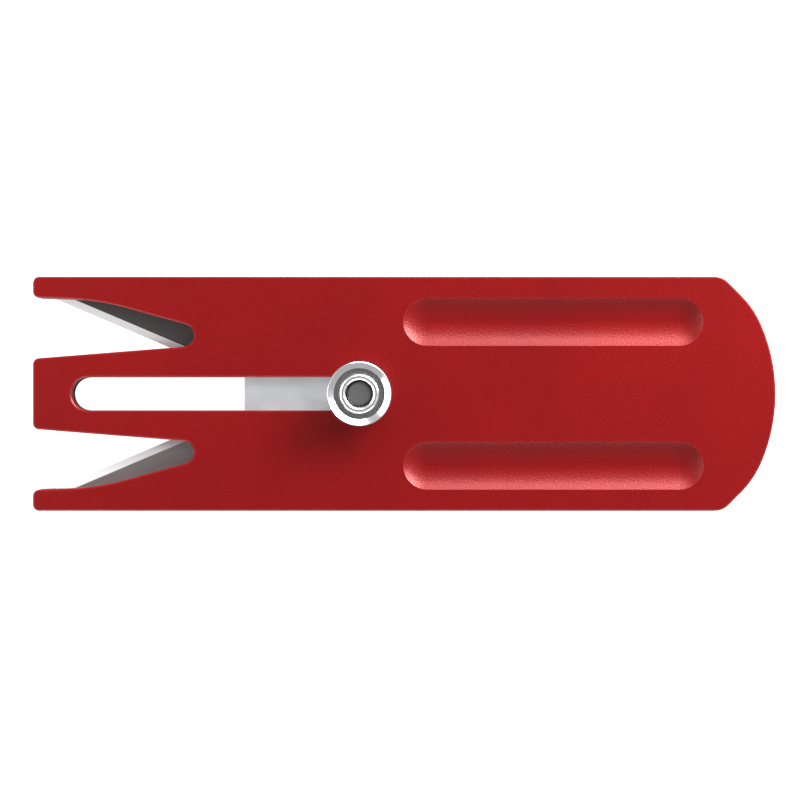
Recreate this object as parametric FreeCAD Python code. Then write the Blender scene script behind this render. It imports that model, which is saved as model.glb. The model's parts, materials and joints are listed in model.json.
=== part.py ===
"""Edge tuning tool: two skewed trimming blades held between aluminium plates, with a sliding guide tongue.

Frame: the blade mouths face -X and the heel of the hand grip faces +X. +Z is up, the grooved thumb face
is on top, and the tool stands on the flat bottom of its grip block at Z 0. "right" is +Y. All sizes are
millimetres.
"""
import FreeCAD, Part
import math
import os

V = FreeCAD.Vector
UP = V(0, 0, 1)

# Heights of the stack, from the table upwards
GRIP_BOTTOM = 0.0
KEEPER_BOTTOM = 8.0
SEAM = 12.0
TOP = 18.0

# How far cutting shapes run past a face, and how close two lengths must be to count as equal
PAST = 1.0
CLOSE = 1e-5

# Plan of the plates
FRONT = -78.0
HALF_WIDTH = 24.6
HEEL_CORNER = 66.9
HEEL_BLEND = 4.0
HEEL_REACH = 81.0
NOSE_RADIUS = 36.5
NOSE_CENTRE = 41.5
NOSE_START = 50.0
NOSE_KINK_BLEND = 20.0
EDGE_BREAK = 0.25

# Blade mouths: a wedge with a bowed outer side and a round inner end
TIP_RADIUS = 1.3
MOUTH_OUTER_TIP = 20.2
MOUTH_BEND = (-64.3, 19.7)
MOUTH_BEND_RADIUS = 52.0
MOUTH_APEX = (-32.87, 10.95)
MOUTH_END_RADIUS = 2.4
MOUTH_INNER_TIP = 7.4

# Centre slot and the guide tongue in it
SLOT_RADIUS = 3.5
SLOT_FRONT = -66.5
CLAMP_X = -9.4
CHANNEL_HALF_WIDTH = 4.9
CHANNEL_DEPTH = 2.0
CHANNEL_REAR = 2.4
TONGUE_HALF_WIDTH = 4.8
TONGUE_FRONT = -33.8
TONGUE_REAR = 2.0
TONGUE_CORNER = 0.6
RUNNING_GAP = 0.05

# Thumb grooves in the top face
GROOVE_START = -0.2
GROOVE_END = 62.8
GROOVE_Y = 15.1
GROOVE_HALF_WIDTH = 5.0
GROOVE_DEPTH = 1.5

# Blades and the dowel pins that set their angle
BLADE_THICKNESS = 0.5
BLADE_LAND = 0.05
BLADE_BEVEL = 1.5
EDGE_START = (-74.64, 20.38)
EDGE_END = (-40.94, 6.08)
BLADE_BACK = [(-32.8, 6.08), (-30.5, 11.8), (-55.7, 22.5), (-73.0, 22.5)]
BLADE_CORNER = 0.5
PIN_RADIUS = 1.0
PIN_BOTTOM = 9.0
PIN_TOP = 15.0
PIN_CHAMFER = 0.2
PIN_PLACES = {"front": (-54.0, 19.2), "rear": (-37.0, 10.0)}

# Keeper plate and its countersunk screws
KEEPER_REAR = 5.8
KEEPER_REAR_CORNER = 1.5
KEEPER_SCREW_PLACES = {"front": (-44.0, 21.0), "middle": (-24.0, 10.0), "rear": (-2.0, 20.0)}
KEEPER_SCREW_RADIUS = 1.5
KEEPER_SCREW_HEAD_RADIUS = 2.8
KEEPER_SCREW_TIP = 16.0
KEEPER_SCREW_SOCKET = 1.0
KEEPER_SCREW_SOCKET_DEPTH = 1.1
HEAD_INSET = 0.15

# Grip block and its socket head screws
GRIP_FRONT = 6.2
GRIP_INSET = 0.6
GRIP_FRONT_CORNER = 3.0
GRIP_EDGE_RADIUS = 1.2
FLUTE_START = 14.0
FLUTE_END = 62.0
FLUTE_RADIUS = 9.0
FLUTE_DEPTH = 2.2
FLUTE_Z = 6.3
GRIP_SCREW_PLACES = {"front": (14.5, 8.0), "rear": (67.0, 10.0)}
GRIP_SCREW_RADIUS = 2.0
GRIP_SCREW_HEAD_RADIUS = 3.5
GRIP_SCREW_HEAD_HEIGHT = 4.0
GRIP_SCREW_HEAD_BOTTOM = 0.6
GRIP_SCREW_TIP = 16.0
GRIP_SCREW_SOCKET = 1.5
GRIP_SCREW_SOCKET_DEPTH = 2.0
HOLE_GAP = 0.05
HOLE_RUNOUT = 0.5

# Clamp: sleeve nut and cup washer on top, knob, stud and washer below
SLEEVE_RADIUS = 3.45
SLEEVE_BOTTOM = 8.3
BORE_RADIUS = 2.8
RIM_RADIUS = 4.25
CUP_RADIUS = 6.78
CUP_BASE_RADIUS = 5.9
CUP_MOUTH_RADIUS = 5.35
CUP_LIFT = 0.03
CUP_FLOOR = 4.4
CUP_HEIGHT = 6.0
CUP_WALL = 0.6
CUP_CREST_ROUND = 0.25
CUP_SLOPE_DROP = 0.68
RIM_HEIGHT = 6.1
STUD_RADIUS = 2.75
STUD_TOP = 23.3
STUD_DOME = 0.35
STUD_HEAD_RADIUS = 4.5
STUD_HEAD_HEIGHT = 3.2
STUD_SOCKET = 2.0
STUD_SOCKET_DEPTH = 2.0
KNOB_RADIUS = 7.5
KNOB_BOTTOM = 1.7
KNOB_TOP = 6.9
KNOB_TEETH = 40
KNURL_DEPTH = 0.35
KNOB_CHAMFER = 0.6
WASHER_RADIUS = 6.5
WASHER_BOTTOM = 6.95
WASHER_TOP = 7.95
WASHER_BREAK = 0.15


# ---- helpers ----

def rounded_face(corners):
    """A flat face at Z 0 from corners (x, y, radius), each rounded by a tangent arc."""
    spans = []
    for number, (x, y, radius) in enumerate(corners):
        corner = V(x, y, 0)
        back = V(*corners[number - 1][:2], 0) - corner
        ahead = V(*corners[(number + 1) % len(corners)][:2], 0) - corner
        half_angle = back.getAngle(ahead) / 2
        back.normalize()
        ahead.normalize()
        run = radius / math.tan(half_angle)
        inward = (back + ahead).normalize()
        middle = corner + inward * (radius / math.sin(half_angle) - radius)
        spans.append((corner + back * run, middle, corner + ahead * run, radius))
    edges = []
    for number, (start, middle, end, radius) in enumerate(spans):
        if radius > 0:
            edges.append(Part.Arc(start, middle, end).toShape())
        following = spans[(number + 1) % len(spans)][0]
        edges.append(Part.LineSegment(end, following).toShape())
    return Part.Face(Part.Wire(edges))


def prism(face, bottom, top):
    """The face raised to a solid between two heights."""
    solid = face.extrude(V(0, 0, top - bottom))
    solid.translate(V(0, 0, bottom))
    return solid


def block(x0, x1, half_y, bottom, top):
    """A box centred on the XZ plane."""
    return Part.makeBox(x1 - x0, 2 * half_y, top - bottom, V(x0, -half_y, bottom))


def rod(x, y, radius, bottom, top):
    """An upright cylinder."""
    return Part.makeCylinder(radius, top - bottom, V(x, y, bottom))


def hexagon(x, y, half_flats, bottom, top):
    """An upright hexagonal bar, for a hex socket."""
    reach = half_flats / math.cos(math.pi / 6)
    corners = []
    for step in range(6):
        angle = math.pi / 3 * step
        corners.append((x + reach * math.cos(angle), y + reach * math.sin(angle), 0))
    return prism(rounded_face(corners), bottom, top)


def turned(profile, x=0.0, y=0.0):
    """A solid of revolution about an upright axis, from (radius, height) points."""
    points = [V(radius, 0, height) for radius, height in profile]
    wire = Part.makePolygon(points + points[:1])
    solid = Part.Face(wire).revolve(V(0, 0, 0), UP, 360)
    solid.translate(V(x, y, 0))
    return solid


def ball_groove(x0, x1, y, z, radius, end_inset):
    """The space swept by a ball cutter along X, with round ends."""
    start = x0 + end_inset
    end = x1 - end_inset
    bar = Part.makeCylinder(radius, end - start, V(start, y, z), V(1, 0, 0))
    return bar.fuse([Part.makeSphere(radius, V(start, y, z)), Part.makeSphere(radius, V(end, y, z))])


def break_rim(solid, height, size):
    """Chamfer every edge that lies flat at one height."""
    rim = [edge for edge in solid.Edges
           if abs(edge.BoundBox.ZMin - height) < CLOSE and abs(edge.BoundBox.ZMax - height) < CLOSE]
    return solid.makeChamfer(size, rim)


def on_both_sides(places):
    """Name each place with its side: right is +Y and left is -Y."""
    for name, (x, y) in places.items():
        yield name + "_right", x, y
        yield name + "_left", x, -y


def mirrored(solid):
    return solid.mirror(V(0, 0, 0), V(0, 1, 0))


# ---- outlines ----

def prong_corners():
    """The front end from the right side to the left: three prongs with two mouths between them."""
    right = [(FRONT, HALF_WIDTH, TIP_RADIUS),
             (FRONT, MOUTH_OUTER_TIP, TIP_RADIUS),
             (*MOUTH_BEND, MOUTH_BEND_RADIUS),
             (*MOUTH_APEX, MOUTH_END_RADIUS),
             (FRONT, MOUTH_INNER_TIP, TIP_RADIUS)]
    left = [(x, -y, radius) for x, y, radius in reversed(right)]
    return right + left


def heel_corners(inset):
    """The rear end from the left side to the right: two 45 degree corners."""
    half_width = HALF_WIDTH - inset
    heel = HEEL_CORNER - inset * math.tan(math.pi / 8)
    narrow = half_width - (HEEL_REACH - heel)
    right = [(HEEL_REACH, narrow, 0), (heel, half_width, HEEL_BLEND)]
    left = [(x, -y, radius) for x, y, radius in reversed(right)]
    return left + right


def round_nose(solid, inset, bottom, top):
    """Trim the rear end to the wide nose arc and blend the arc into the 45 degree corners."""
    rest = block(NOSE_START, HEEL_REACH + PAST, HALF_WIDTH + PAST, bottom - PAST, top + PAST)
    radius = NOSE_RADIUS - inset
    rest = rest.cut(rod(NOSE_CENTRE, 0, radius, bottom - 2 * PAST, top + 2 * PAST))
    solid = solid.cut(rest)
    kinks = []
    for edge in solid.Edges:
        upright = edge.BoundBox.ZLength > top - bottom - CLOSE
        middle = edge.CenterOfMass
        from_centre = math.hypot(middle.x - NOSE_CENTRE, middle.y)
        if upright and middle.x > NOSE_START and abs(from_centre - radius) < CLOSE:
            kinks.append(edge)
    return solid.makeFillet(NOSE_KINK_BLEND, kinks)


def slot_space(bottom, top):
    """The long centre slot that the clamp travels in."""
    straight = block(SLOT_FRONT, CLAMP_X, SLOT_RADIUS, bottom, top)
    return straight.fuse([rod(SLOT_FRONT, 0, SLOT_RADIUS, bottom, top),
                          rod(CLAMP_X, 0, SLOT_RADIUS, bottom, top)])


def blade_outline():
    sharp = [(*EDGE_START, 0), (*EDGE_END, 0)]
    blunt = [(x, y, BLADE_CORNER) for x, y in BLADE_BACK]
    return rounded_face(sharp + blunt)


# ---- housing ----

def upper_plate():
    outline = rounded_face(prong_corners() + heel_corners(0))
    plate = prism(outline, SEAM, TOP)
    plate = round_nose(plate, 0, SEAM, TOP)
    plate = plate.cut(slot_space(SEAM - PAST, TOP + PAST)).removeSplitter()
    plate = break_rim(plate, TOP, EDGE_BREAK)
    groove_radius = (GROOVE_HALF_WIDTH ** 2 + GROOVE_DEPTH ** 2) / (2 * GROOVE_DEPTH)
    groove_z = TOP - GROOVE_DEPTH + groove_radius
    spaces = []
    for y in (GROOVE_Y, -GROOVE_Y):
        spaces.append(ball_groove(GROOVE_START, GROOVE_END, y, groove_z, groove_radius, GROOVE_HALF_WIDTH))
    for _, x, y in on_both_sides(KEEPER_SCREW_PLACES):
        radius = KEEPER_SCREW_RADIUS + HOLE_GAP
        spaces.append(rod(x, y, radius, SEAM - PAST, KEEPER_SCREW_TIP + HOLE_RUNOUT))
    for _, x, y in on_both_sides(GRIP_SCREW_PLACES):
        radius = GRIP_SCREW_RADIUS + HOLE_GAP
        spaces.append(rod(x, y, radius, SEAM - PAST, GRIP_SCREW_TIP + HOLE_RUNOUT))
    for _, x, y in on_both_sides(PIN_PLACES):
        spaces.append(rod(x, y, PIN_RADIUS, SEAM - PAST, PIN_TOP))
    return plate.cut(spaces)


def blade_keeper():
    rear = [(KEEPER_REAR, -HALF_WIDTH, KEEPER_REAR_CORNER), (KEEPER_REAR, HALF_WIDTH, KEEPER_REAR_CORNER)]
    plate = prism(rounded_face(prong_corners() + rear), KEEPER_BOTTOM, SEAM)
    plate = plate.cut(slot_space(KEEPER_BOTTOM - PAST, SEAM + PAST)).removeSplitter()
    plate = break_rim(plate, KEEPER_BOTTOM, EDGE_BREAK)
    channel = block(FRONT - PAST, CHANNEL_REAR, CHANNEL_HALF_WIDTH, SEAM - CHANNEL_DEPTH, SEAM + PAST)
    pocket = prism(blade_outline(), SEAM - BLADE_THICKNESS, SEAM + PAST)
    spaces = [channel, pocket, mirrored(pocket)]
    for _, x, y in on_both_sides(KEEPER_SCREW_PLACES):
        spaces.append(rod(x, y, KEEPER_SCREW_RADIUS + HOLE_GAP, KEEPER_BOTTOM - PAST, SEAM + PAST))
        spaces.append(countersink(x, y, HOLE_GAP))
    for _, x, y in on_both_sides(PIN_PLACES):
        spaces.append(rod(x, y, PIN_RADIUS, PIN_BOTTOM, SEAM + PAST))
    return plate.cut(spaces)


def grip_block():
    front = [(GRIP_FRONT, HALF_WIDTH - GRIP_INSET, GRIP_FRONT_CORNER),
             (GRIP_FRONT, GRIP_INSET - HALF_WIDTH, GRIP_FRONT_CORNER)]
    grip = prism(rounded_face(front + heel_corners(GRIP_INSET)), GRIP_BOTTOM, SEAM)
    grip = round_nose(grip, GRIP_INSET, GRIP_BOTTOM, SEAM)
    bottom_rim = [edge for edge in grip.Edges if edge.BoundBox.ZMax < GRIP_BOTTOM + CLOSE]
    grip = grip.makeFillet(GRIP_EDGE_RADIUS, bottom_rim)
    flute_y = HALF_WIDTH - GRIP_INSET - FLUTE_DEPTH + FLUTE_RADIUS
    end_inset = math.sqrt(FLUTE_RADIUS ** 2 - (FLUTE_RADIUS - FLUTE_DEPTH) ** 2)
    spaces = []
    for y in (flute_y, -flute_y):
        spaces.append(ball_groove(FLUTE_START, FLUTE_END, y, FLUTE_Z, FLUTE_RADIUS, end_inset))
    head_top = GRIP_SCREW_HEAD_BOTTOM + GRIP_SCREW_HEAD_HEIGHT
    for _, x, y in on_both_sides(GRIP_SCREW_PLACES):
        spaces.append(rod(x, y, GRIP_SCREW_RADIUS + HOLE_GAP, GRIP_BOTTOM - PAST, SEAM + PAST))
        spaces.append(rod(x, y, GRIP_SCREW_HEAD_RADIUS + HOLE_GAP, GRIP_BOTTOM - PAST, head_top))
    return grip.cut(spaces)


# ---- blades, pins and screws ----

def right_blade():
    """A flat blade, ground on both faces to a thin land at the cutting edge, halfway up its thickness."""
    bottom = SEAM - BLADE_THICKNESS
    middle = SEAM - BLADE_THICKNESS / 2
    blade = prism(blade_outline(), bottom, SEAM)
    start = V(*EDGE_START, 0)
    along = V(*EDGE_END, 0) - start
    length = along.Length
    along.normalize()
    inward = UP.cross(along)
    slope = (BLADE_THICKNESS - BLADE_LAND) / 2 / BLADE_BEVEL
    first = start - along * length
    for side in (1, -1):
        face = middle + side * BLADE_THICKNESS / 2
        low = middle + side * (BLADE_LAND / 2 - slope * PAST)
        high = face + side * PAST
        section = [(BLADE_BEVEL, face), (-PAST, low), (-PAST, high), (BLADE_BEVEL, high)]
        points = [first + inward * across + UP * height for across, height in section]
        waste = Part.Face(Part.makePolygon(points + points[:1])).extrude(along * (3 * length))
        blade = blade.cut(waste)
    for x, y in PIN_PLACES.values():
        blade = blade.cut(rod(x, y, PIN_RADIUS, bottom - PAST, SEAM + PAST))
    return blade


def dowel_pin(x, y):
    inner = PIN_RADIUS - PIN_CHAMFER
    return turned([(0, PIN_BOTTOM), (inner, PIN_BOTTOM), (PIN_RADIUS, PIN_BOTTOM + PIN_CHAMFER),
                   (PIN_RADIUS, PIN_TOP - PIN_CHAMFER), (inner, PIN_TOP), (0, PIN_TOP)], x, y)


def countersink(x, y, gap):
    """A 90 degree countersink in the keeper's bottom face, or with no gap the head that fills it."""
    wide = KEEPER_SCREW_HEAD_RADIUS + gap
    depth = KEEPER_SCREW_HEAD_RADIUS - KEEPER_SCREW_RADIUS
    bottom = KEEPER_BOTTOM + HEAD_INSET
    cone = Part.makeCone(wide, KEEPER_SCREW_RADIUS + gap, depth, V(x, y, bottom))
    if gap == 0:
        return cone
    return cone.fuse(rod(x, y, wide, KEEPER_BOTTOM - PAST, bottom))


def keeper_screw(x, y):
    bottom = KEEPER_BOTTOM + HEAD_INSET
    shank = rod(x, y, KEEPER_SCREW_RADIUS, bottom, KEEPER_SCREW_TIP)
    screw = shank.fuse(countersink(x, y, 0)).removeSplitter()
    return screw.cut(hexagon(x, y, KEEPER_SCREW_SOCKET, bottom - PAST, bottom + KEEPER_SCREW_SOCKET_DEPTH))


def grip_screw(x, y):
    bottom = GRIP_SCREW_HEAD_BOTTOM
    head = rod(x, y, GRIP_SCREW_HEAD_RADIUS, bottom, bottom + GRIP_SCREW_HEAD_HEIGHT)
    screw = head.fuse(rod(x, y, GRIP_SCREW_RADIUS, bottom, GRIP_SCREW_TIP)).removeSplitter()
    return screw.cut(hexagon(x, y, GRIP_SCREW_SOCKET, bottom - PAST, bottom + GRIP_SCREW_SOCKET_DEPTH))


# ---- guide and clamp ----

def guide_tongue():
    corners = [(TONGUE_FRONT, TONGUE_HALF_WIDTH, TONGUE_CORNER),
               (TONGUE_FRONT, -TONGUE_HALF_WIDTH, TONGUE_CORNER),
               (TONGUE_REAR, -TONGUE_HALF_WIDTH, TONGUE_CORNER),
               (TONGUE_REAR, TONGUE_HALF_WIDTH, TONGUE_CORNER)]
    bottom = SEAM - CHANNEL_DEPTH + RUNNING_GAP
    tongue = prism(rounded_face(corners), bottom, SEAM - RUNNING_GAP)
    return tongue.cut(rod(CLAMP_X, 0, SLEEVE_RADIUS, bottom - PAST, SEAM + PAST))


def cup_washer():
    """A tall flared ring with a round crest, a slope inwards and a flat floored dish in its top."""
    bottom = TOP + CUP_LIFT
    floor = bottom + CUP_FLOOR
    crest = bottom + CUP_HEIGHT
    shoulder = CUP_RADIUS - CUP_CREST_ROUND
    corner = CUP_CREST_ROUND * (1 - math.sqrt(0.5))
    return turned([(SLEEVE_RADIUS, bottom), (CUP_BASE_RADIUS, bottom), (CUP_BASE_RADIUS, bottom + CUP_WALL),
                   (CUP_RADIUS, crest - CUP_WALL), (CUP_RADIUS, crest - CUP_CREST_ROUND),
                   (CUP_RADIUS - corner, crest - corner), (shoulder, crest),
                   (CUP_MOUTH_RADIUS, crest - CUP_SLOPE_DROP),
                   (CUP_MOUTH_RADIUS, floor), (SLEEVE_RADIUS, floor)], CLAMP_X)


def sleeve_nut():
    """A sleeve through the slot, with its top end rolled over into a round rim."""
    seat = TOP + CUP_LIFT + CUP_FLOOR
    roll = (RIM_RADIUS - BORE_RADIUS) / 2
    crown_z = TOP + RIM_HEIGHT - roll
    nut = rod(CLAMP_X, 0, SLEEVE_RADIUS, SLEEVE_BOTTOM, crown_z)
    nut = nut.fuse(rod(CLAMP_X, 0, RIM_RADIUS, seat, crown_z))
    nut = nut.cut(rod(CLAMP_X, 0, BORE_RADIUS, SLEEVE_BOTTOM - PAST, crown_z + PAST))
    return nut.fuse(half_ring(RIM_RADIUS - roll, roll, crown_z)).removeSplitter()


def half_ring(ring_radius, roll, height):
    """The upper half of a ring round the clamp's axis."""
    centre = V(ring_radius, 0, height)
    arc = Part.Arc(centre + V(roll, 0, 0), centre + V(0, 0, roll), centre - V(roll, 0, 0)).toShape()
    base = Part.LineSegment(centre - V(roll, 0, 0), centre + V(roll, 0, 0)).toShape()
    ring = Part.Face(Part.Wire([arc, base])).revolve(V(0, 0, 0), UP, 360)
    ring.translate(V(CLAMP_X, 0, 0))
    return ring


def clamp_stud():
    """The clamp screw: its socket head sits in the knob, and its domed tip shows in the sleeve nut."""
    head_top = KNOB_BOTTOM + STUD_HEAD_HEIGHT
    tip = STUD_RADIUS - STUD_DOME
    stud = turned([(0, KNOB_BOTTOM), (STUD_HEAD_RADIUS, KNOB_BOTTOM), (STUD_HEAD_RADIUS, head_top),
                   (STUD_RADIUS, head_top), (STUD_RADIUS, STUD_TOP - STUD_DOME), (tip, STUD_TOP),
                   (0, STUD_TOP)], CLAMP_X)
    return stud.cut(hexagon(CLAMP_X, 0, STUD_SOCKET, KNOB_BOTTOM - PAST, KNOB_BOTTOM + STUD_SOCKET_DEPTH))


def clamp_knob():
    """A knurled thumb knob pressed over the stud's head."""
    corners = []
    for step in range(2 * KNOB_TEETH):
        radius = KNOB_RADIUS - KNURL_DEPTH * (step % 2)
        angle = math.pi * step / KNOB_TEETH
        corners.append((CLAMP_X + radius * math.cos(angle), radius * math.sin(angle), 0))
    knurled = prism(rounded_face(corners), KNOB_BOTTOM, KNOB_TOP)
    shoulder = KNOB_RADIUS - KNOB_CHAMFER
    blank = turned([(0, KNOB_BOTTOM), (shoulder, KNOB_BOTTOM), (KNOB_RADIUS, KNOB_BOTTOM + KNOB_CHAMFER),
                    (KNOB_RADIUS, KNOB_TOP - KNOB_CHAMFER), (shoulder, KNOB_TOP), (0, KNOB_TOP)], CLAMP_X)
    knob = knurled.common(blank)
    spaces = [rod(CLAMP_X, 0, STUD_HEAD_RADIUS, KNOB_BOTTOM - PAST, KNOB_BOTTOM + STUD_HEAD_HEIGHT),
              rod(CLAMP_X, 0, STUD_RADIUS, KNOB_BOTTOM, KNOB_TOP + PAST)]
    return knob.cut(spaces)


def knob_washer():
    inner = STUD_RADIUS + RUNNING_GAP
    rim = WASHER_RADIUS - WASHER_BREAK
    return turned([(inner, WASHER_BOTTOM), (rim, WASHER_BOTTOM),
                   (WASHER_RADIUS, WASHER_BOTTOM + WASHER_BREAK), (WASHER_RADIUS, WASHER_TOP - WASHER_BREAK),
                   (rim, WASHER_TOP), (inner, WASHER_TOP)], CLAMP_X)


def all_pieces():
    """Every separate piece of the tool by its node name."""
    blade = right_blade()
    pieces = {"upper_plate": upper_plate(), "blade_keeper": blade_keeper(), "grip_block": grip_block(),
              "right_blade": blade, "left_blade": mirrored(blade),
              "guide_tongue": guide_tongue(), "cup_washer": cup_washer(), "sleeve_nut": sleeve_nut(),
              "clamp_stud": clamp_stud(), "clamp_knob": clamp_knob(), "knob_washer": knob_washer()}
    for name, x, y in on_both_sides(PIN_PLACES):
        pieces["dowel_pin_" + name] = dowel_pin(x, y)
    for name, x, y in on_both_sides(KEEPER_SCREW_PLACES):
        pieces["keeper_screw_" + name] = keeper_screw(x, y)
    for name, x, y in on_both_sides(GRIP_SCREW_PLACES):
        pieces["grip_screw_" + name] = grip_screw(x, y)
    return pieces


os.makedirs("parts", exist_ok=True)
for node, shape in all_pieces().items():
    print(f"{node}: valid {shape.isValid()}, {len(shape.Solids)} solid, {shape.Volume:.1f} mm3")
    shape.exportStep(f"parts/{node}.step")
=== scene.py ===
"""Looks of the edge tuning tool: materials, floor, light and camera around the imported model."""
import json
import math

import bpy
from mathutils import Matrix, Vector


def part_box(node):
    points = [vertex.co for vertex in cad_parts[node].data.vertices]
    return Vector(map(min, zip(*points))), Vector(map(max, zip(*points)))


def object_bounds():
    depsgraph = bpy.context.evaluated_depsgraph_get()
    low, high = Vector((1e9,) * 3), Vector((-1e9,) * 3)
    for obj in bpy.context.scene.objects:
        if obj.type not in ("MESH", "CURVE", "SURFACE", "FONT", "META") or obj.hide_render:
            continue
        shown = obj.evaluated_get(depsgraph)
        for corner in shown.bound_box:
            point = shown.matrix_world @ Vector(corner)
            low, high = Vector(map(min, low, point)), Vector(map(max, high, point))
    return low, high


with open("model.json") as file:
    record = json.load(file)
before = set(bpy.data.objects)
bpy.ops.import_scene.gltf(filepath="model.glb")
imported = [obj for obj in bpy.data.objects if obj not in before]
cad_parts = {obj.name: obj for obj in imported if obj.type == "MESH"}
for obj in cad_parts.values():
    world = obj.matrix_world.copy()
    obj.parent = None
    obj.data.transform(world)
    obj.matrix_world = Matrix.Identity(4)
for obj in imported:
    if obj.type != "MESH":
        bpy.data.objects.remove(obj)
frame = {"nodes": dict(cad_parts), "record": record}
cad_low, cad_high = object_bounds()

# Colours are linear
RED_DEEP = (0.102, 0.0005, 0.0008)
RED_LIGHT = (0.117, 0.0007, 0.001)
# Paler red for the edges: partly rubbed anodising, partly a painted highlight along the chamfers
RED_RUBBED_AND_HIGHLIGHT = (0.18, 0.012, 0.013)
# The blades' coating in two tones of one finish: darker on the right blade as painted shade, paler on the
# left as painted light
COATING_SHADED = (0.115, 0.107, 0.107)
COATING_LIT = (0.29, 0.255, 0.26)
GROUND_BRIGHT = (0.75, 0.75, 0.76)
STEEL = (0.62, 0.62, 0.63)
SATIN = (0.80, 0.85, 0.88)
SATIN_LIGHT = (0.85, 0.90, 0.93)
SHEARED = (0.2, 0.2, 0.205)
NICKEL = (0.72, 0.72, 0.72)
SATIN_NICKEL = (0.50, 0.50, 0.505)
BLACK = (0.04, 0.04, 0.043)
BLACK_LIGHT = (0.06, 0.06, 0.064)
BLACK_RUBBED = (0.16, 0.16, 0.165)
# Paler grey painted on the middle of the stud's tip as a highlight
TIP_HIGHLIGHT_GREY = (0.13, 0.13, 0.13)
FLOOR = (0.25, 0.25, 0.25)
WHITE = (1, 1, 1)

# The camera's height above the plate, its place over the tool and the width that it sees, in metres
CAMERA_HEIGHT = 0.73
CAMERA_PLACE = (-0.0009, -0.0013)
VIEW_WIDTH = 0.168

# In millimetres, as lens lengths are
SENSOR_WIDTH = 36.0

# A cutting edge runs 14.3 mm across the tool and 33.7 mm along it
BLADE_ANGLE = math.atan2(14.3, 33.7)

# How level a face is, from 0 to 1: the blades' flats and bevels, the strip's faces and edges, and the
# washer's flare and the floor of its dish
FLAT = 0.998
BEVEL = 0.993
STRIP_FACE = 0.9
STRIP_EDGE = 0.5
FLARE = 0.99
DISH_FLOOR = 0.999

# The cosine of how far a rounded edge's normal leans, where the paler edge starts and where it is full:
# rubbing on the black parts, and on the red partly rubbing, partly a painted highlight along the chamfers
PALE_EDGE_FROM = 0.995
PALE_EDGE_FULLY = 0.85

RINGS_PER_MILLIMETRE = 9

# From the middle of the stud's tip, in metres: a painted highlight of paler grey up to the first, and black
# from the second
TIP_HIGHLIGHT_TO = 0.0021
TIP_BLACK_FROM = 0.0024

# Name, place, aim, size and power of each softbox, in metres and watts
SOFTBOXES = [
    ("key", (0.275, 0.215, 0.15), (0.02, 0, 0.018), (0.3, 0.16), 7.0),
    ("back", (0.14, 0.44, 0.36), (0.02, 0, 0.018), (0.6, 0.24), 5.0),
    ("side", (-0.20, 0.02, 0.12), (-0.04, 0, 0.018), (0.26, 0.1), 0.6),
    ("fill", (0, -0.75, 0.12), (0, 0, 0.018), (1.8, 0.22), 11.0),
]

# The dome's brightness on its walls and ceiling, and the share of it that is left in the hatch
DOME_WALLS = 0.75
DOME_CEILING = 0.92
HATCH_SHADE = 0.11

# The dome's lean, and where its walls end and its ceiling starts, as cosines of the angle from its axis
DOME_LEAN = math.radians(20)
WALLS_END = 0.35
CEILING_START = 0.5

# Where the hatch starts and where it is full, as cosines of the angle from the upright
HATCH_START = 0.94
HATCH_FULL = 0.985

# In metres
FLOOR_SIZE = 6.0

stud_low, stud_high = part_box("clamp_stud")
clamp_tip = ((stud_low.x + stud_high.x) / 2, (stud_low.y + stud_high.y) / 2, stud_high.z)


# ---- material building blocks ----

def parts_of(material):
    """A material's node tree and its shader."""
    return material.node_tree, material.node_tree.nodes["Principled BSDF"]


def new_material(name, **sockets):
    """A node material, its tree and its shader, with constant sockets set on the shader."""
    material = bpy.data.materials.new(name)
    material.use_nodes = True
    tree, shader = parts_of(material)
    for socket, value in sockets.items():
        shader.inputs[socket.replace("_", " ")].default_value = value
    return material, tree, shader


def placed(tree, scale=(1, 1, 1), turn=0.0, shift=(0, 0, 0)):
    """The object's own coordinates, turned about Z, shifted and stretched."""
    coordinates = tree.nodes.new("ShaderNodeTexCoord")
    turned = tree.nodes.new("ShaderNodeMapping")
    turned.inputs["Location"].default_value = shift
    turned.inputs["Rotation"].default_value = (0, 0, turn)
    tree.links.new(coordinates.outputs["Object"], turned.inputs["Vector"])
    stretched = tree.nodes.new("ShaderNodeMapping")
    stretched.inputs["Scale"].default_value = scale
    tree.links.new(turned.outputs["Vector"], stretched.inputs["Vector"])
    return stretched.outputs["Vector"]


def noise(tree, where, scale, detail):
    """Soft noise from 0 to 1, whose scale is the number of specks in one unit of the coordinates."""
    texture = tree.nodes.new("ShaderNodeTexNoise")
    texture.inputs["Scale"].default_value = scale
    texture.inputs["Detail"].default_value = detail
    tree.links.new(where, texture.inputs["Vector"])
    return texture.outputs["Fac"]


def ramp(tree, factor, low, high, first, last):
    """A colour that goes from first to last while the factor goes from low to high."""
    node = tree.nodes.new("ShaderNodeValToRGB")
    for element, position, colour in zip(node.color_ramp.elements, (low, high), (first, last)):
        element.position = position
        element.color = (*colour, 1)
    tree.links.new(factor, node.inputs["Fac"])
    return node.outputs["Color"]


def span(tree, value, low, high, first, last):
    """A number that goes from first to last while the value goes from low to high."""
    node = tree.nodes.new("ShaderNodeMapRange")
    node.inputs["From Min"].default_value = low
    node.inputs["From Max"].default_value = high
    node.inputs["To Min"].default_value = first
    node.inputs["To Max"].default_value = last
    tree.links.new(value, node.inputs["Value"])
    return node.outputs["Result"]


def part_along(tree, direction, axis):
    """The size of a direction's part along one axis, from 0 to 1."""
    parts = tree.nodes.new("ShaderNodeSeparateXYZ")
    tree.links.new(direction, parts.inputs["Vector"])
    size = tree.nodes.new("ShaderNodeMath")
    size.operation = "ABSOLUTE"
    tree.links.new(parts.outputs[axis], size.inputs[0])
    return size.outputs["Value"]


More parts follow.
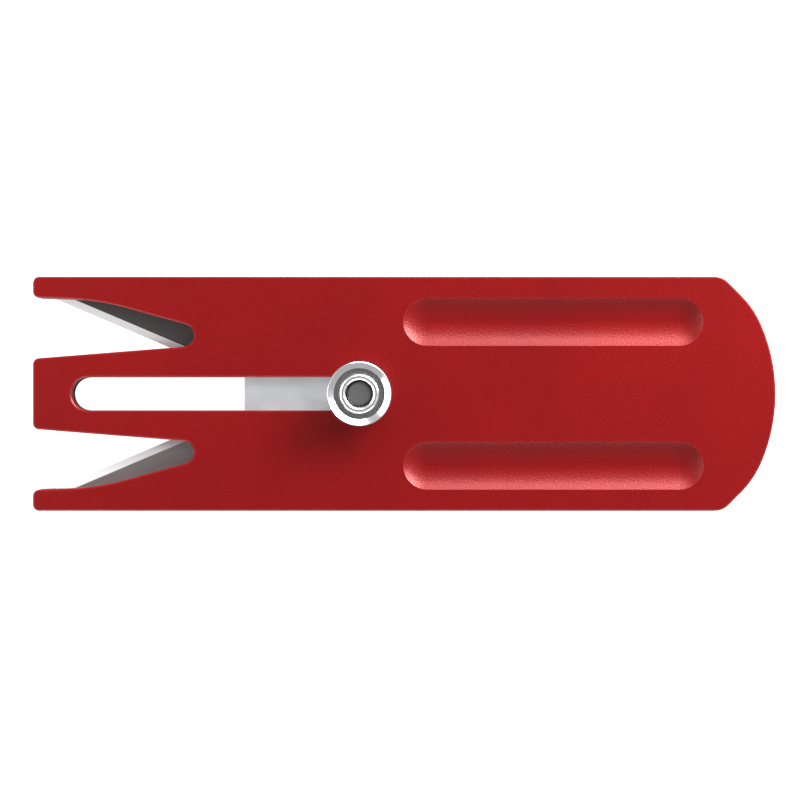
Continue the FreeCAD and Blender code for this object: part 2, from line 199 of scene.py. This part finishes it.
def edge_wear_and_highlight(tree, radius):
    """0 on flat faces, rising to 1 on edges, from how far a rounded normal leans off the true one."""
    rounded = tree.nodes.new("ShaderNodeBevel")
    rounded.inputs["Radius"].default_value = radius
    geometry = tree.nodes.new("ShaderNodeNewGeometry")
    lean = tree.nodes.new("ShaderNodeVectorMath")
    lean.operation = "DOT_PRODUCT"
    tree.links.new(rounded.outputs["Normal"], lean.inputs[0])
    tree.links.new(geometry.outputs["Normal"], lean.inputs[1])
    return span(tree, lean.outputs["Value"], PALE_EDGE_FROM, PALE_EDGE_FULLY, 0.0, 1.0)


def mixed(tree, factor, plain, other):
    """The plain colour where the factor is 0, and the other one where it is 1."""
    node = tree.nodes.new("ShaderNodeMix")
    node.data_type = "RGBA"
    colours = [socket for socket in node.inputs if socket.type == "RGBA"]
    tree.links.new(factor, node.inputs["Factor"])
    tree.links.new(plain, colours[0])
    colours[1].default_value = (*other, 1)
    return [socket for socket in node.outputs if socket.type == "RGBA"][0]


def bump(tree, shader, height, strength, depth):
    """Shade the surface as relief that follows a height, with its depth in metres."""
    node = tree.nodes.new("ShaderNodeBump")
    node.inputs["Strength"].default_value = strength
    node.inputs["Distance"].default_value = depth
    tree.links.new(height, node.inputs["Height"])
    tree.links.new(node.outputs["Normal"], shader.inputs["Normal"])


def distance(tree, centre, upright):
    """Distance in metres from a point, or from the upright axis through it."""
    where = placed(tree, (1, 1, 0 if upright else 1), 0.0, tuple(-part for part in centre))
    length = tree.nodes.new("ShaderNodeVectorMath")
    length.operation = "LENGTH"
    tree.links.new(where, length.inputs[0])
    return length.outputs["Value"]


def levelness(tree):
    """1 on level faces, falling to 0 on upright ones."""
    coordinates = tree.nodes.new("ShaderNodeTexCoord")
    return part_along(tree, coordinates.outputs["Normal"], "Z")


def recolour(tree, shader, factor, other):
    """Lay another colour over a finished material's own, where the factor is 1."""
    colour = shader.inputs["Base Color"]
    tree.links.new(mixed(tree, factor, colour.links[0].from_socket, other), colour)


# ---- materials ----

def red_anodised():
    """Fine-blasted aluminium under a red anodic layer: soft sheen, fine grain, paler on its edges, partly
    rubbed and partly a painted highlight along the chamfers.
    """
    material, tree, shader = new_material("red_anodised", Metallic=0.25, Specular_IOR_Level=0.25)
    links = tree.links
    where = placed(tree)
    grain = noise(tree, where, 2600.0, 3.0)
    colour = ramp(tree, noise(tree, where, 45.0, 3.0), 0.3, 0.7, RED_DEEP, RED_LIGHT)
    # Edges are made paler red: partly rubbed anodising, partly a painted highlight along the chamfers
    links.new(mixed(tree, edge_wear_and_highlight(tree, 0.0004), colour, RED_RUBBED_AND_HIGHLIGHT), shader.inputs["Base Color"])
    links.new(span(tree, grain, 0.2, 0.8, 0.27, 0.39), shader.inputs["Roughness"])
    bump(tree, shader, grain, 1.0, 0.00005)
    return material


def ground_steel(name, first, last, turn, roughness):
    """Steel with straight grinding lines that run along X after the turn."""
    material, tree, shader = new_material(name, Metallic=1.0)
    lines = noise(tree, placed(tree, (60, 5200, 5200), turn), 1.0, 4.0)
    clouds = noise(tree, placed(tree), 220.0, 3.0)
    tree.links.new(ramp(tree, lines, 0.25, 0.75, first, last), shader.inputs["Base Color"])
    gloss = span(tree, clouds, 0.3, 0.7, roughness - 0.06, roughness + 0.06)
    tree.links.new(gloss, shader.inputs["Roughness"])
    bump(tree, shader, lines, 0.3, 0.00001)
    return material


def blade_metal(name, coating, turn):
    """A dark coated blade whose ground bevels are bare bright steel, with lines along the cutting edge; the
    coating's tone, given per blade, is painted shade or painted light.
    """
    paler = tuple(1.25 * part for part in coating)
    material = ground_steel(name, coating, paler, turn, 0.34)
    tree, shader = parts_of(material)
    level = levelness(tree)
    recolour(tree, shader, span(tree, level, FLAT, BEVEL, 0.0, 1.0), GROUND_BRIGHT)
    tree.links.new(span(tree, level, FLAT, BEVEL, 0.34, 0.3), shader.inputs["Roughness"])
    tree.links.new(span(tree, level, FLAT, BEVEL, 1.0, 0.75), shader.inputs["Metallic"])
    return material


def strip_metal():
    """Brushed stainless strip, bright on its level faces and dull on its sheared edges."""
    material = ground_steel("brushed_stainless", SATIN, SATIN_LIGHT, 0.0, 0.45)
    tree, shader = parts_of(material)
    recolour(tree, shader, span(tree, levelness(tree), STRIP_FACE, STRIP_EDGE, 0.0, 1.0), SHEARED)
    return material


def turned_metal(name, colour, roughness):
    """Plated metal with faint rings from the lathe about the clamp's upright axis."""
    material, tree, shader = new_material(name, Metallic=1.0)
    radius = distance(tree, clamp_tip, True)
    rings = tree.nodes.new("ShaderNodeMath")
    rings.operation = "SINE"
    turns = 2 * math.pi * RINGS_PER_MILLIMETRE
    tree.links.new(span(tree, radius, 0, 0.001, 0, turns), rings.inputs[0])
    clouds = noise(tree, placed(tree), 900.0, 3.0)
    paler = tuple(min(1.0, part * 1.1) for part in colour)
    tree.links.new(ramp(tree, clouds, 0.3, 0.7, colour, paler), shader.inputs["Base Color"])
    gloss = span(tree, clouds, 0.3, 0.7, roughness - 0.04, roughness + 0.06)
    tree.links.new(gloss, shader.inputs["Roughness"])
    bump(tree, shader, rings.outputs["Value"], 0.2, 0.000006)
    return material


def dished_metal():
    """The washer's plating: polished on its flare, and duller in the level floor of its dish."""
    material = turned_metal("satin_nickel", SATIN_NICKEL, 0.16)
    tree, shader = parts_of(material)
    gloss = span(tree, levelness(tree), FLARE, DISH_FLOOR, 0.16, 0.24)
    tree.links.new(gloss, shader.inputs["Roughness"])
    return material


def black_oxide(name):
    """Blackened steel with its edges rubbed paler."""
    material, tree, shader = new_material(name, Metallic=0.85)
    where = placed(tree)
    grain = noise(tree, where, 3500.0, 3.0)
    colour = ramp(tree, noise(tree, where, 600.0, 3.0), 0.3, 0.7, BLACK, BLACK_LIGHT)
    tree.links.new(mixed(tree, edge_wear_and_highlight(tree, 0.0002), colour, BLACK_RUBBED), shader.inputs["Base Color"])
    tree.links.new(span(tree, grain, 0.2, 0.8, 0.28, 0.42), shader.inputs["Roughness"])
    bump(tree, shader, grain, 0.3, 0.00001)
    return material


def stud_metal():
    """Black oxide with a painted highlight: the middle of the stud's tip is painted paler grey."""
    material = black_oxide("stud_steel")
    tree, shader = parts_of(material)
    # A painted highlight in the middle of the tip, fading to the black oxide towards its rim
    painted_highlight = span(tree, distance(tree, clamp_tip, False), TIP_BLACK_FROM, TIP_HIGHLIGHT_TO, 0.0, 1.0)
    recolour(tree, shader, painted_highlight, TIP_HIGHLIGHT_GREY)
    return material


def bench():
    """A floor that looks white even in the shade of the tool, and throws little light up at it."""
    material, tree, shader = new_material("bench", Base_Color=(*FLOOR, 1), Roughness=0.8)
    shader.inputs["Emission Color"].default_value = (*WHITE, 1)
    path = tree.nodes.new("ShaderNodeLightPath")
    tree.links.new(path.outputs["Is Camera Ray"], shader.inputs["Emission Strength"])
    return material


# ---- scene ----

def dress(materials):
    """Give every CAD node its own material, or the one of its slot."""
    for part in frame["record"]["subparts"]:
        node = frame["nodes"][part["node"]]
        node.data.materials.clear()
        node.data.materials.append(materials[part["node"]] if part["node"] in materials
                                   else materials[part["material_slot"]])


def add_floor():
    bpy.ops.mesh.primitive_plane_add(size=FLOOR_SIZE, location=(0, 0, cad_low.z))
    floor = bpy.context.object
    floor.name = "floor"
    floor.data.materials.append(bench())


def add_softbox(name, place, target, size, power):
    data = bpy.data.lights.new(name, "AREA")
    data.shape = "RECTANGLE"
    data.size, data.size_y = size
    data.energy = power
    lamp = bpy.data.objects.new(name, data)
    lamp.location = place
    lamp.rotation_euler = (Vector(target) - Vector(place)).to_track_quat("-Z", "Y").to_euler()
    bpy.context.collection.objects.link(lamp)


def add_sky():
    """A studio dome whose bright ceiling leans towards +Y, with a dim round hatch above the tool."""
    world = bpy.data.worlds.new("studio")
    world.use_nodes = True
    tree = world.node_tree
    direction = tree.nodes.new("ShaderNodeTexCoord").outputs["Generated"]
    leaning = tree.nodes.new("ShaderNodeVectorMath")
    leaning.operation = "DOT_PRODUCT"
    leaning.inputs[1].default_value = (0, math.sin(DOME_LEAN), math.cos(DOME_LEAN))
    tree.links.new(direction, leaning.inputs[0])
    dome = span(tree, leaning.outputs["Value"], WALLS_END, CEILING_START, DOME_WALLS, DOME_CEILING)
    shade = span(tree, part_along(tree, direction, "Z"), HATCH_START, HATCH_FULL, 1.0, HATCH_SHADE)
    strength = tree.nodes.new("ShaderNodeMath")
    strength.operation = "MULTIPLY"
    tree.links.new(dome, strength.inputs[0])
    tree.links.new(shade, strength.inputs[1])
    background = tree.nodes["Background"]
    background.inputs["Color"].default_value = (*WHITE, 1)
    tree.links.new(strength.outputs["Value"], background.inputs["Strength"])
    bpy.context.scene.world = world


def add_camera():
    """Straight down, with the tool's +Y at the top of the picture."""
    data = bpy.data.cameras.new("camera")
    data.sensor_width = SENSOR_WIDTH
    data.lens = SENSOR_WIDTH * CAMERA_HEIGHT / VIEW_WIDTH
    camera = bpy.data.objects.new("camera", data)
    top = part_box("upper_plate")[1].z
    camera.location = (*CAMERA_PLACE, top + CAMERA_HEIGHT)
    bpy.context.collection.objects.link(camera)
    bpy.context.scene.camera = camera


dress({
    # The right blade's coating is painted darker as shade, and the left one's paler as light
    "right_blade": blade_metal("blade_steel_right_shaded", COATING_SHADED, BLADE_ANGLE),
    "left_blade": blade_metal("blade_steel_left_lit", COATING_LIT, -BLADE_ANGLE),
    "red_anodised": red_anodised(),
    "brushed_stainless": strip_metal(),
    "cup_washer": dished_metal(),
    "bright_nickel": turned_metal("bright_nickel", NICKEL, 0.15),
    "knurled_steel": turned_metal("knurled_steel", STEEL, 0.3),
    "clamp_stud": stud_metal(),
    "pin_steel": ground_steel("pin_steel", STEEL, SATIN, 0.0, 0.25),
    "black_oxide": black_oxide("black_oxide"),
})
add_floor()
for softbox in SOFTBOXES:
    add_softbox(*softbox)
add_sky()
add_camera()
bpy.context.scene.view_settings.view_transform = "Standard"
